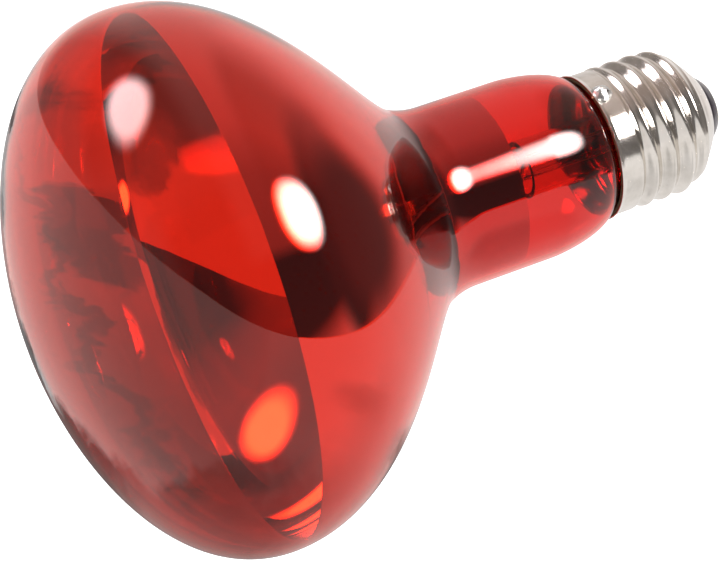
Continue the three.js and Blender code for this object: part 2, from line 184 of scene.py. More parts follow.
def tube_faces(rows, sides, closed=False, capped=False):
    """Faces between rows of points, each a ring of the same number of sides."""
    faces = []
    for i in range(rows if closed else rows - 1):
        j = (i + 1) % rows
        for k in range(sides):
            n = (k + 1) % sides
            faces.append((i * sides + k, i * sides + n, j * sides + n, j * sides + k))
    if capped:
        faces.append(tuple(range(sides))[::-1])
        faces.append(tuple(range((rows - 1) * sides, rows * sides)))
    return faces


def lathe(outline, sides, closed=False, grow=None):
    """Turns [radius, z] points about Z. A closed outline makes a ring, and grow adds to the radius."""
    verts, rings = [], []
    for radius, z in outline:
        if radius < 1e-6:
            rings.append([len(verts)] * sides)
            verts.append((0.0, 0.0, z))
            continue
        rings.append(list(range(len(verts), len(verts) + sides)))
        for k in range(sides):
            a = 2 * math.pi * k / sides
            r = radius + (grow(a, z, radius) if grow else 0.0)
            verts.append((r * math.cos(a), r * math.sin(a), z))
    faces = []
    pairs = list(zip(rings, rings[1:] + rings[:1])) if closed else list(zip(rings, rings[1:]))
    for low, high in pairs:
        for k in range(sides):
            n = (k + 1) % sides
            corners = [low[k], low[n], high[n], high[k]]
            corners = [c for i, c in enumerate(corners) if c not in corners[:i]]
            if len(corners) > 2:
                faces.append(corners)
    return verts, faces


def chaikin(outline, passes, closed=True):
    """Cuts an outline's corners, so that it turns smoothly."""
    for _ in range(passes):
        ends = zip(outline, outline[1:] + outline[:1]) if closed else zip(outline, outline[1:])
        cut = []
        for p, q in ends:
            cut.append([0.75 * a + 0.25 * b for a, b in zip(p, q)])
            cut.append([0.25 * a + 0.75 * b for a, b in zip(p, q)])
        outline = cut if closed else [outline[0], *cut[1:-1], outline[-1]]
    return outline


def centripetal(points, steps):
    """Points of a centripetal Catmull-Rom curve, which is how the CAD's wires run."""
    pts = [Vector(p) for p in points]
    pts = [2 * pts[0] - pts[1], *pts, 2 * pts[-1] - pts[-2]]
    made = []
    for i in range(1, len(pts) - 2):
        p = pts[i - 1:i + 3]
        t = [0.0]
        for a, b in zip(p, p[1:]):
            t.append(t[-1] + math.sqrt((b - a).length))
        for s in range(steps):
            x = t[1] + (t[2] - t[1]) * s / steps
            a = [(p[k] * (t[k + 1] - x) + p[k + 1] * (x - t[k])) / (t[k + 1] - t[k]) for k in range(3)]
            b = [(a[k] * (t[k + 2] - x) + a[k + 1] * (x - t[k])) / (t[k + 2] - t[k]) for k in range(2)]
            made.append((b[0] * (t[2] - x) + b[1] * (x - t[1])) / (t[2] - t[1]))
    return made + [pts[-2]]


def sweep(path, radius, sides=WIRE_SIDES):
    """A round wire along a path of points, with rounded ends."""
    first = (path[0] - path[1]).normalized()
    last = (path[-1] - path[-2]).normalized()
    end_steps = (0.5, 0.8, 0.95)
    head = [(path[0] + first * radius * k, radius * math.sqrt(1 - k * k)) for k in end_steps[::-1]]
    tail = [(path[-1] + last * radius * k, radius * math.sqrt(1 - k * k)) for k in end_steps]
    stations = [*head, *[(p, radius) for p in path], *tail]
    verts = []
    side = None
    for i, (p, r) in enumerate(stations):
        ahead = stations[min(i + 1, len(stations) - 1)][0]
        behind = stations[max(i - 1, 0)][0]
        tangent = (ahead - behind).normalized()
        if side is None:
            side = tangent.orthogonal().normalized()
        side = (side - tangent * side.dot(tangent)).normalized()
        other = tangent.cross(side)
        for k in range(sides):
            a = 2 * math.pi * k / sides
            verts.append(tuple(p + (side * math.cos(a) + other * math.sin(a)) * r))
    return verts, tube_faces(len(stations), sides, capped=True)


def joined(*meshes):
    """Several meshes as one."""
    verts, faces = [], []
    for more_verts, more_faces in meshes:
        base = len(verts)
        verts.extend(more_verts)
        faces.extend(tuple(base + i for i in face) for face in more_faces)
    return verts, faces


# ---------- the bulb's outline ----------

def cubic(p0, p1, p2, p3, steps):
    """Points of a Bezier curve, each with its slope."""
    for i in range(steps + 1):
        t = i / steps
        s = 1 - t
        point = [s**3 * a + 3 * s * s * t * b + 3 * s * t * t * c + t**3 * d
                 for a, b, c, d in zip(p0, p1, p2, p3)]
        slope = [s * s * (b - a) + 2 * s * t * (c - b) + t * t * (d - c)
                 for a, b, c, d in zip(p0, p1, p2, p3)]
        yield point, slope


def straight(p0, p1, steps):
    """Points of a straight line, each with its slope."""
    for i in range(steps + 1):
        t = i / steps
        yield [a + (b - a) * t for a, b in zip(p0, p1)], [b - a for a, b in zip(p0, p1)]


def waist_arc(steps):
    """The hollow arc between the neck and the flank, as points and slopes."""
    for i in range(steps + 1):
        a = WAIST_ANGLE * i / steps
        yield ([NECK_RADIUS + WAIST_RADIUS * (1 - math.cos(a)), NECK_HIGH_Z + WAIST_RADIUS * math.sin(a)],
               [math.sin(a), math.cos(a)])


def bulb_outline(depth, low_z=0.0, high_z=LAMP_LENGTH):
    """The bulb's profile from the seal to the crown, moved inwards by depth."""
    waist_end = [NECK_RADIUS + WAIST_RADIUS * (1 - math.cos(WAIST_ANGLE)),
                 NECK_HIGH_Z + WAIST_RADIUS * math.sin(WAIST_ANGLE)]
    waist_handle = [waist_end[0] + WAIST_PULL * math.sin(WAIST_ANGLE),
                    waist_end[1] + WAIST_PULL * math.cos(WAIST_ANGLE)]
    curves = [
        straight((SEAL_RADIUS, SEAL_LOW_Z), (SEAL_RADIUS, SEAL_HIGH_Z), 3),
        cubic((SEAL_RADIUS, SEAL_HIGH_Z), (SEAL_RADIUS, SEAL_HIGH_Z + SEAL_PULL),
              (RIM_GLASS_RADIUS - RIM_PULL[1], RIM_GLASS_Z - RIM_PULL[0]),
              (RIM_GLASS_RADIUS, RIM_GLASS_Z), 10),
        cubic((RIM_GLASS_RADIUS, RIM_GLASS_Z),
              (RIM_GLASS_RADIUS + SHOULDER_PULL[1], RIM_GLASS_Z + SHOULDER_PULL[0]),
              (NECK_RADIUS, NECK_LOW_Z - NECK_PULL), (NECK_RADIUS, NECK_LOW_Z), 24),
        straight((NECK_RADIUS, NECK_LOW_Z), (NECK_RADIUS, NECK_HIGH_Z), 10),
        waist_arc(12),
        cubic(waist_end, waist_handle, (BULB_RADIUS, EQUATOR_Z - FLANK_PULL), (BULB_RADIUS, EQUATOR_Z), 64),
        cubic((BULB_RADIUS, EQUATOR_Z), (BULB_RADIUS, EQUATOR_Z + DOME_PULL),
              (CROWN_PULL, LAMP_LENGTH), (0, LAMP_LENGTH), 64),
    ]
    made = []
    for curve in curves:
        for i, (p, slope) in enumerate(curve):
            if made and i == 0:
                continue
            length = math.hypot(*slope) or 1.0
            made.append([p[0] - slope[1] / length * depth, p[1] + slope[0] / length * depth])
    made[-1][0] = 0.0
    return [p for p in made if low_z <= p[1] <= high_z]


def radius_at(outline, z):
    """Radius of a rising outline at a height."""
    for (r0, z0), (r1, z1) in zip(outline, outline[1:]):
        if z0 <= z <= z1:
            return r0 + (r1 - r0) * (z - z0) / (z1 - z0)
    return outline[-1][0]


def mirror_band(low_edge, high_edge, rows):
    """A skin inside the glass between two edges, whose heights are functions of azimuth."""
    face = bulb_outline(GLASS_WALL + FILM_GAP)
    back = bulb_outline(GLASS_WALL + FILM_GAP + FILM_WALL)
    verts = []
    loop = [(face, i / rows) for i in range(rows + 1)] + [(back, 1 - i / rows) for i in range(rows + 1)]
    for outline, share in loop:
        for k in range(ROUND):
            a = 2 * math.pi * k / ROUND
            z = low_edge(a) + (high_edge(a) - low_edge(a)) * share
            r = radius_at(outline, z)
            verts.append((r * math.cos(a), r * math.sin(a), z))
    return verts, tube_faces(len(loop), ROUND, closed=True)


# ---------- materials: noise scales are per metre, and bumps are in millimetres ----------

WAVE_DEPTH = 0.12               # of blown glass, and of the mirror film that lies on it
RIPPLE_RISE = (49.3, 57.3)      # heights between which the waist's ripples start, and then end
RIPPLE_FALL = (61.3, 73.3)
RIPPLE_SHARE = 0.35
TINT_LOW_Z = RIM_Z
TINT_HIGH_Z = 129.3
FILM_GLOSS = 0.03
FILM_DULL = 0.35


class Graph:
    """The shader nodes of a material or of the world. Most methods add a node and return its output."""

    def __init__(self, tree):
        self.nodes = tree.nodes
        self.links = tree.links

    def put(self, value, socket):
        """Links another node's output to a socket, or sets the socket to a constant."""
        if isinstance(value, bpy.types.NodeSocket):
            self.links.new(value, socket)
        else:
            socket.default_value = value

    def add(self, kind, **sockets):
        """A new node, with what its named sockets get."""
        node = self.nodes.new("ShaderNode" + kind)
        for socket, value in sockets.items():
            self.put(value, node.inputs[socket.replace("_", " ")])
        return node

    def object_coords(self, scale=(1, 1, 1)):
        """The piece's own coordinates in metres, scaled."""
        coords = self.add("TexCoord").outputs["Object"]
        return self.add("Mapping", Vector=coords, Scale=scale).outputs["Vector"]

    def parts(self, vector):
        """The X, Y and Z of a vector, by name."""
        return self.add("SeparateXYZ", Vector=vector).outputs

    def noise(self, vector, scale, detail=2.0, roughness=0.5):
        """Noise from 0 to 1."""
        node = self.add("TexNoise", Vector=vector, Scale=scale, Detail=detail, Roughness=roughness)
        return node.outputs["Fac"]

    def ramp(self, fac, stops):
        """A colour ramp through (position, colour) stops."""
        node = self.add("ValToRGB", Fac=fac)
        elements = node.color_ramp.elements
        while len(elements) < len(stops):
            elements.new(0.5)
        for element, (position, colour) in zip(elements, stops):
            element.position = position
            element.color = (*colour, 1)
        return node.outputs["Color"]

    def grey_ramp(self, value, stops):
        """A curve through (place, level) stops."""
        low, high = stops[0][0], stops[-1][0]
        share = self.map_range(value, low, high)
        return self.ramp(share, [((x - low) / (high - low), (level,) * 3) for x, level in stops])

    def map_range(self, value, from_low, from_high, to_low=0, to_high=1, smooth=False):
        """A number moved from one range to another, and held inside it."""
        node = self.add("MapRange", Value=value, From_Min=from_low, From_Max=from_high, To_Min=to_low,
                        To_Max=to_high)
        node.interpolation_type = "SMOOTHSTEP" if smooth else "LINEAR"
        return node.outputs["Result"]

    def fade(self, value, start, end, low=0, high=1):
        """A smooth change from low at start to high at end."""
        return self.map_range(value, start, end, low, high, smooth=True)

    def calc(self, operation, *values, kind="Math", result="Value"):
        """A sum on numbers, or on vectors where kind is VectorMath."""
        node = self.add(kind)
        node.operation = operation
        for value, socket in zip(values, node.inputs):
            self.put(value, socket)
        return node.outputs[result]

    def blend(self, factor, a, b):
        """A number that goes from a to b as factor goes from 0 to 1."""
        return self.add("Mix", Factor=factor, A=a, B=b).outputs["Result"]

    def mixed(self, factor, a, b):
        """A colour that goes from a to b as factor goes from 0 to 1."""
        node = self.add("Mix")
        node.data_type = "RGBA"
        sockets = {s.identifier: s for s in [*node.inputs, *node.outputs]}
        for name, value in (("Factor_Float", factor), ("A_Color", a), ("B_Color", b)):
            self.put(value, sockets[name])
        return sockets["Result_Color"]

    def bump(self, shader, height, distance_mm, after=None):
        """A bump on the shader, on top of an earlier bump where after is given."""
        node = self.add("Bump", Height=height, Strength=1.0, Distance=distance_mm * MM)
        if after is not None:
            self.put(after, node.inputs["Normal"])
        self.put(node.outputs["Normal"], shader.inputs["Normal"])
        return node.outputs["Normal"]

    def show_mix(self, output, share, first, second):
        """The output shows the first node's shader where share is 0 and the second's where it is 1."""
        mix = self.add("MixShader", Fac=share)
        self.put(first.outputs[0], mix.inputs[1])
        self.put(second.outputs[0], mix.inputs[2])
        self.put(mix.outputs["Shader"], output.inputs["Surface"])


def new_material(name, **sockets):
    """A Principled material with values set on its own sockets. Returns material, graph, shader."""
    material = bpy.data.materials.new(name)
    material.use_nodes = True
    graph = Graph(material.node_tree)
    shader = graph.nodes["Principled BSDF"]
    for socket, value in sockets.items():
        shader.inputs[socket.replace("_", " ")].default_value = value
    return material, graph, shader


def blown_waves(graph):
    """Height of blown glass's slow waves, strongest where the mould pinched the waist."""
    vector = graph.object_coords((1, 1, 0.6))
    slow = graph.noise(vector, 45, 1)
    height = graph.parts(graph.object_coords())["Z"]
    above = graph.fade(height, *(z * MM for z in RIPPLE_RISE))
    below = graph.fade(height, *(z * MM for z in RIPPLE_FALL), 1, 0)
    at_waist = graph.calc("MULTIPLY", above, below)
    ripples = graph.calc("MULTIPLY", graph.noise(graph.object_coords(), 170, 1.5), at_waist)
    return graph.calc("ADD", slow, graph.calc("MULTIPLY", ripples, RIPPLE_SHARE))


def make_ruby_glass():
    """Clear red glass that is a little deeper towards the cap."""
    material, graph, shader = new_material(
        "ruby_glass", Base_Color=(0.93, 0.155, 0.08, 1), Roughness=0.0, IOR=1.5, Transmission_Weight=1.0)
    height = graph.parts(graph.object_coords())["Z"]
    tint = graph.ramp(graph.map_range(height, TINT_LOW_Z * MM, TINT_HIGH_Z * MM),
                      [(0.0, (0.88, 0.075, 0.04)), (0.28, (0.90, 0.085, 0.045)),
                       (0.5, (0.93, 0.13, 0.055)), (1.0, (0.935, 0.135, 0.06))])
    graph.put(tint, shader.inputs["Base Color"])
    graph.bump(shader, blown_waves(graph), WAVE_DEPTH)
    return material


def make_mirror_film(name, level, inside=None):
    """Mirror film. With a colour given for inside, the face away from the glass has it and is duller, which
    paints shade inside the lamp's neck.
    """
    material, graph, shader = new_material(
        name, Base_Color=(level, level, level * 1.01, 1), Metallic=1.0, Roughness=FILM_GLOSS)
    if inside is not None:
        normal = graph.add("TexCoord").outputs["Normal"]
        facing = graph.calc("DOT_PRODUCT", normal, graph.object_coords((1, 1, 0)), kind="VectorMath")
        outer = graph.map_range(facing, -MM, MM)
        tone = graph.ramp(outer, [(0.0, inside), (1.0, (level, level, level * 1.01))])
        graph.put(tone, shader.inputs["Base Color"])
        graph.put(graph.map_range(outer, 0, 1, FILM_DULL, FILM_GLOSS), shader.inputs["Roughness"])
    graph.bump(shader, blown_waves(graph), WAVE_DEPTH)
    return material


def make_nickel_plate():
    """Bright plate with a cloudy tone, fine marks round the cap and shallow dents."""
    material, graph, shader = new_material(
        "nickel_plate", Base_Color=(0.70, 0.65, 0.575, 1), Metallic=1.0, Roughness=0.14)
    vector = graph.object_coords()
    cloudy = graph.noise(vector, 260, 4, 0.6)
    tone = graph.ramp(cloudy, [(0.25, (0.66, 0.625, 0.57)), (0.55, (0.77, 0.735, 0.685)),
                               (0.85, (0.83, 0.80, 0.76))])
    graph.put(tone, shader.inputs["Base Color"])
    graph.put(graph.map_range(cloudy, 0.25, 0.8, 0.09, 0.2), shader.inputs["Roughness"])
    marks = graph.bump(shader, graph.noise(graph.object_coords((1, 1, 9)), 700, 3, 0.7), 0.006)
    graph.bump(shader, graph.noise(vector, 330, 2), 0.03, marks)
    return material


def make_black_glass():
    """Opaque moulded glass with flow marks and pits."""
    material, graph, shader = new_material(
        "black_glass", Base_Color=(0.012, 0.009, 0.014, 1), Roughness=0.12, IOR=1.52)
    vector = graph.object_coords()
    flow = graph.noise(vector, 420, 3)
    tone = graph.ramp(flow, [(0.3, (0.008, 0.006, 0.010)), (0.75, (0.030, 0.022, 0.036))])
    graph.put(tone, shader.inputs["Base Color"])
    graph.put(graph.map_range(flow, 0.2, 0.8, 0.06, 0.22), shader.inputs["Roughness"])
    graph.bump(shader, graph.noise(vector, 900, 2), 0.03)
    return material


def make_metal(name, colour, spread, roughness, grain, bump_mm):
    """A worked metal: its colour and gloss drift over the surface, with a fine grain."""
    material, graph, shader = new_material(
        name, Base_Color=(*colour, 1), Metallic=1.0, Roughness=roughness)
    vector = graph.object_coords()
    drift = graph.noise(vector, grain, 3, 0.6)
    dark = tuple(c * (1 - spread) for c in colour)
    light = tuple(min(c * (1 + spread), 1) for c in colour)
    graph.put(graph.ramp(drift, [(0.3, dark), (0.7, light)]), shader.inputs["Base Color"])
    gloss = graph.map_range(drift, 0.2, 0.8, roughness * 0.7, roughness * 1.4)
    graph.put(gloss, shader.inputs["Roughness"])
    graph.bump(shader, graph.noise(vector, grain * 3, 3, 0.6), bump_mm)
    return material


def make_cement():
    """Baked brown cement, gritty."""
    material, graph, shader = new_material(
        "cement", Base_Color=(0.14, 0.075, 0.04, 1), Roughness=0.9, Specular_IOR_Level=0.2)
    grit = graph.noise(graph.object_coords(), 1800, 4, 0.7)
    tone = graph.ramp(grit, [(0.3, (0.055, 0.03, 0.018)), (0.7, (0.19, 0.11, 0.06))])
    graph.put(tone, shader.inputs["Base Color"])
    graph.bump(shader, grit, 0.12)
    return material


def make_clear_glass():
    """The stem's glass, drawn into slow lengthwise waves."""
    material, graph, shader = new_material(
        "clear_glass", Base_Color=(0.90, 0.95, 0.93, 1), Roughness=0.0, IOR=1.52, Transmission_Weight=1.0)
    seed = graph.noise(graph.object_coords((1, 1, 0.3)), 260, 2)
    graph.bump(shader, seed, 0.05)
    return material


# make_metal takes a name, a colour, the colour's spread, a roughness, a noise scale and a bump depth

RUBY = make_ruby_glass()
FLANK_FILM = make_mirror_film("mirror_film", 0.91)
# the neck film's inner face is painted dark and dull: painted shade inside the neck
NECK_FILM = make_mirror_film("mirror_film_neck", 0.72, (0.16, 0.13, 0.12))
NICKEL = make_nickel_plate()
VITRITE = make_black_glass()
BRASS = make_metal("brass", (0.80, 0.60, 0.28), 0.12, 0.26, 500, 0.01)
SOLDER = make_metal("solder", (0.66, 0.66, 0.65), 0.14, 0.30, 700, 0.03)
CEMENT = make_cement()
CLEAR = make_clear_glass()
SHIELD = make_metal("shield_metal", (0.74, 0.74, 0.74), 0.06, 0.24, 180, 0.008)
WIRE = make_metal("nickel_wire", (0.58, 0.55, 0.50), 0.12, 0.28, 600, 0.01)
COPPER = make_metal("copper_wire", (0.72, 0.40, 0.24), 0.15, 0.32, 600, 0.01)
TUNGSTEN = make_metal("tungsten", (0.30, 0.30, 0.31), 0.10, 0.38, 900, 0.004)


# ---------- the bulb's pieces ----------

def ragged(height, amount, seed):
    """A film's edge: its height by azimuth, wandering to and fro by about the amount."""
    def edge(a):
        broad = noise.noise(Vector((1.6 * math.cos(a), 1.6 * math.sin(a), seed)))
        fine = noise.noise(Vector((6 * math.cos(a), 6 * math.sin(a), seed + 5)))
        return height + amount * (broad + 0.35 * fine)
    return edge


def build_bulb():
    """The glass, with a mirror film inside its flank and another inside its neck."""
    outside = bulb_outline(0.0)
    inside = bulb_outline(GLASS_WALL)
    verts, faces = lathe([*inside[::-1], *outside], ROUND)
    add_piece("bulb_glass", verts, faces, RUBY, ["glass_envelope"], flat_angle=1.0)
    verts, faces = mirror_band(ragged(FLANK_FILM_LOW_Z + 0.6, 3.4, 2.0),
                               ragged(FLANK_FILM_HIGH_Z, 0.15, 4.0), 40)
    add_piece("mirror_skin", verts, faces, FLANK_FILM, ["reflector_film"], flat_angle=1.0)
    verts, faces = mirror_band(ragged(NECK_FILM_LOW_Z + 0.3, 0.5, 6.0),
                               ragged(NECK_FILM_HIGH_Z - 0.3, 0.9, 8.0), 24)
    add_piece("neck_skin", verts, faces, NECK_FILM, ["neck_film"], flat_angle=1.0)


# ---------- the cap's pieces ----------

def thread_wave(azimuth, z):
    """How far the rolled thread stands out from its mean radius."""
    grown = smoothstep(z, THREAD_LOW_Z, THREAD_FULL_Z)
    fade = grown * (1 - smoothstep(z, SKIRT_LOW_Z - THREAD_FADE, SKIRT_LOW_Z))
    turns = z / PITCH - CREST_PHASE - azimuth / (2 * math.pi)
    return fade * math.cos(2 * math.pi * turns) * (CREST_RADIUS - ROOT_RADIUS) / 2


def shell_outline():
    """The shell's outside from its small end to its rim, at the thread's mean radius."""
    mean = (CREST_RADIUS + ROOT_RADIUS) / 2
    rows = 160
    thread = []
    for i in range(rows + 1):
        z = THREAD_LOW_Z + (SKIRT_LOW_Z - THREAD_LOW_Z) * i / rows
        grown = smoothstep(z, THREAD_LOW_Z - 1, THREAD_FULL_Z)
        swept = THREAD_START_RADIUS + (mean - THREAD_START_RADIUS) * grown
        widened = smoothstep(z, SKIRT_LOW_Z - THREAD_FADE, SKIRT_LOW_Z)
        thread.append([swept + (SKIRT_RADIUS - swept) * widened, z])
    end = chaikin([*SHELL_END, thread[0]], 2, closed=False)[:-1]
    skirt = [[SKIRT_RADIUS, SKIRT_LOW_Z + 0.5 * k] for k in range(1, 6)]
    rim = chaikin([[SKIRT_RADIUS, RIM_Z - 1.1], [SKIRT_RADIUS, RIM_Z - 0.8], [RIM_RADIUS - 0.1, RIM_Z - 0.35],
                   [RIM_RADIUS, RIM_Z - 0.02]], 2, closed=False)
    return [*end, *thread, *skirt, *rim]


def offset_outline(outline, depth):
    """An outline moved inwards, point by point."""
    made = []
    for i, (radius, z) in enumerate(outline):
        r0, z0 = outline[max(i - 1, 0)]
        r1, z1 = outline[min(i + 1, len(outline) - 1)]
        length = math.hypot(r1 - r0, z1 - z0)
        made.append([radius - (z1 - z0) / length * depth, z + (r1 - r0) / length * depth])
    return made


def crumpled(amount, grain, low_z, high_z):
    """Unevenness for lathe, by noise of that grain, growing from nothing at low_z to full at high_z."""
    def grow(a, z, radius):
        p = Vector((radius * math.cos(a), radius * math.sin(a), z))
        return amount * noise.noise(p * grain) * smoothstep(z, low_z, high_z)
    return grow


def build_cap():
    """The screw shell, its insulator and contact, the solder joints and the cement."""
    outside = shell_outline()
    inside = offset_outline(outside, SHELL_WALL)
    top = [[RIM_RADIUS - 0.05, RIM_Z], [RIM_RADIUS - 0.2, RIM_Z]]
    inside[-1][1] = RIM_Z - 0.04
    verts, faces = lathe([*outside, *top, *inside[::-1]], ROUND, closed=True,
                         grow=lambda a, z, r: thread_wave(a, z))
    add_piece("screw_shell", verts, faces, NICKEL, ["cap_shell"], flat_angle=0.9)

    verts, faces = lathe(chaikin(INSULATOR, 3), 128, closed=True)
    add_piece("insulator_glass", verts, faces, VITRITE, ["cap_insulator"])
    verts, faces = lathe(chaikin(CONTACT_DISC, 2), 96, closed=True)
    add_piece("contact_disc", verts, faces, BRASS, ["contact_plate"])
    drop = [[0, 0], [0.6, 0], [1.1, 0.01], *chaikin(SOLDER_DROP, 2, closed=False), [0, SOLDER_DROP[-1][1]]]
    verts, faces = lathe(drop, 96, grow=crumpled(0.22, 0.9, 0.0, 0.3))
    add_piece("tip_solder", verts, faces, SOLDER, ["centre_solder"])
    build_side_solder()
    verts, faces = lathe(chaikin(CEMENT_RING, 2), ROUND, closed=True, grow=crumpled(0.07, 1.7, 24.8, 26.1))
    add_piece("cement_ring", verts, faces, CEMENT, ["capping_cement"])


def build_side_solder():
    """A smear of solder that holds the side lead to the skirt: two lobes on one foot, flat at the rim."""
    middle_z, top_z = 24.5, RIM_Z - 0.05
    bm = bmesh.new()
    bmesh.ops.create_icosphere(bm, subdivisions=5, radius=1.0)
    verts = []
    for v in bm.verts:
        p = v.co                # a point on a ball, which is spread along the skirt and most at its foot
        foot = 1 - smoothstep(p.x, -0.2, 0.75)
        y = p.y * (1.35 + 0.5 * foot)
        z = p.z * (1.4 + 0.35 * foot)
        lobes = 0.22 * math.exp(-((y - 0.4) ** 2 + (z - 0.35) ** 2) / 0.5)
        lobes += 0.1 * math.exp(-((y + 0.6) ** 2 + (z + 0.5) ** 2) / 0.3)
        bulge = max(p.x, -0.35) * 1.1 + lobes * max(p.x, 0) + 0.12 * noise.noise(p * 2.1)
        y += 0.14 * noise.noise(p * 1.6 + Vector((7, 0, 0)))
        z = min(z + 0.12 * noise.noise(p * 1.8 + Vector((0, 9, 0))) + middle_z, top_z)
        verts.append((SKIRT_RADIUS + 0.25 + bulge, y, z))
    faces = [[v.index for v in f.verts] for f in bm.faces]
    bm.free()
    add_piece("rim_solder", verts, faces, SOLDER, ["side_solder"])


# ---------- the stem ----------

def build_stem():
    """The glass stem: flare, press, exhaust tube, rod and button."""
    lip = [STEM_FLARE[0][0] - 0.2, STEM_FLARE[0][1] - 0.7]
    inside = [lip, *[[r - STEM_WALL, z] for r, z in STEM_FLARE[1:]]]
    flare = [*chaikin(STEM_FLARE, 2, closed=False), *chaikin(inside, 2, closed=False)[::-1]]
    verts, faces = lathe(flare, INNER_ROUND, closed=True)
    add_piece("stem_tube", verts, faces, CLEAR, ["stem_flare"], flat_angle=1.0)

    verts, faces = press_loft()
    add_piece("stem_pinch", verts, faces, CLEAR, ["stem_press"], flat_angle=1.0)

    verts, faces = lathe(chaikin(EXHAUST_TUBE, 2, closed=False), INNER_ROUND)
    add_piece("pumping_tube", verts, faces, CLEAR, ["exhaust_tube"], flat_angle=1.0)

    rod = [[0, ARBOR_LOW_Z], [1.1, ARBOR_LOW_Z], [ARBOR_RADIUS, ARBOR_LOW_Z + 0.4],
           *[[ARBOR_RADIUS, ARBOR_LOW_Z + 0.7 + k] for k in range(12)], [ARBOR_RADIUS, ARBOR_HIGH_Z - 0.2],
           [1.2, ARBOR_HIGH_Z], [0, ARBOR_HIGH_Z]]
    verts, faces = lathe(rod, 32)
    add_piece("rod_glass", verts, faces, CLEAR, ["arbor_rod"], flat_angle=1.0)

    middle = (BUTTON_LOW_Z + BUTTON_HIGH_Z) / 2
    half = (BUTTON_HIGH_Z - BUTTON_LOW_Z) / 2
    button = [[BUTTON_RADIUS * math.cos(a), middle + half * math.sin(a)]
              for a in (math.pi * (k / 24 - 0.5) for k in range(25))]
    button[0][0] = button[-1][0] = 0.0
    verts, faces = lathe(button, 48)
    add_piece("button_glass", verts, faces, CLEAR, ["arbor_button"])


def press_loft():
    """The flat pinch of the stem, with rounded ends and soft top edges."""
    sides = 64
    rows = [(PRESS_LOW_Z, 0.96), (PRESS_LOW_Z + 0.4, 1.0), (PRESS_LOW_Z + 3.7, 1.0),
            (PRESS_TOP_Z - 1.4, 1.0), (PRESS_TOP_Z - 0.5, 0.95), (PRESS_TOP_Z - 0.1, 0.82),
            (PRESS_TOP_Z, 0.6)]
    verts = []
    straight_half = (PRESS_WIDTH - PRESS_THICKNESS) / 2
    for z, share in rows:
        for k in range(sides):
            a = 2 * math.pi * (k + 0.5) / sides
            x = PRESS_THICKNESS / 2 * math.cos(a) + math.copysign(straight_half, math.cos(a))
            y = PRESS_THICKNESS / 2 * math.sin(a)
            verts.append((x * (1 - (1 - share) * 0.4), y * share, z))
    return verts, tube_faces(len(rows), sides, capped=True)


def build_shield():
    """A thin disc with a rounded edge, a bore for the rod and a hole for each lead."""
    low, high = SHIELD_Z, SHIELD_Z + SHIELD_THICKNESS
    radii = [SHIELD_BORE, 6, SHIELD_RADIUS - 1, SHIELD_RADIUS - 0.2]
    outline = chaikin([*[[r, low] for r in radii], [SHIELD_RADIUS, (low + high) / 2],
                       *[[r, high] for r in radii[::-1]]], 2)
    verts, faces = lathe(outline, 128, closed=True)
    piece = add_piece("shield_disc", verts, faces, SHIELD, ["heat_shield"], flat_angle=0.8)
    for x in (-LEAD_OFFSET, LEAD_OFFSET):
        bpy.ops.mesh.primitive_cylinder_add(vertices=24, radius=(LEAD_RADIUS + WELD_GAP) * MM, depth=4 * MM,
                                            location=(x * MM, 0, SHIELD_Z * MM))
        cutter = bpy.context.object
        cut = piece.modifiers.new("hole", "BOOLEAN")
        cut.operation = "DIFFERENCE"
        cut.object = cutter
        bpy.context.view_layer.update()
        evaluated = piece.evaluated_get(bpy.context.evaluated_depsgraph_get())
        cut_mesh = bpy.data.meshes.new_from_object(evaluated)
        piece.modifiers.clear()
        piece.data = cut_mesh
        bpy.data.objects.remove(cutter)


# ---------- the wires ----------

def ring_point(degrees, radius, z):
    """A point by azimuth, radius and height."""
    a = math.radians(degrees)
    return Vector((radius * math.cos(a), radius * math.sin(a), z))


def filament_azimuths():
    """Where the filament's ring starts, is held and ends, in degrees. Its opening faces -Y."""
    spans = SUPPORT_COUNT + 1
    start = -90 + FILAMENT_OPENING / 2
    return [start + (360 - FILAMENT_OPENING) * i / spans for i in range(spans + 1)]


def coil(start, end, turns, wire_radius, coil_radius, sag):
    """A helix of fine wire from start to end, sagging a little in the middle."""
    axis = (end - start).normalized()
    outwards = axis.cross(Vector((0, 0, 1))).normalized()
    up = outwards.cross(axis)
    path = []
    steps = turns * 12          # points, twelve a turn
    for i in range(steps + 1):
        t = i / steps
        a = 2 * math.pi * turns * t
        centre = start.lerp(end, t) + Vector((0, 0, -sag * 4 * t * (1 - t)))
        path.append(centre + (outwards * math.cos(a) + up * math.sin(a)) * coil_radius)
    return sweep(path, wire_radius, 6)


def build_filament():
    """A ring of straight coiled spans; returns the points where it is held."""
    stations = [ring_point(azimuth, FILAMENT_RING, FILAMENT_Z) for azimuth in filament_azimuths()]
    spans = [coil(a, b, COIL_TURNS, TUNGSTEN_RADIUS, FILAMENT_RADIUS - TUNGSTEN_RADIUS, COIL_SAG)
             for a, b in zip(stations, stations[1:])]
    verts, faces = joined(*spans)
    add_piece("coiled_filament", verts, faces, TUNGSTEN, ["filament"])
    return stations


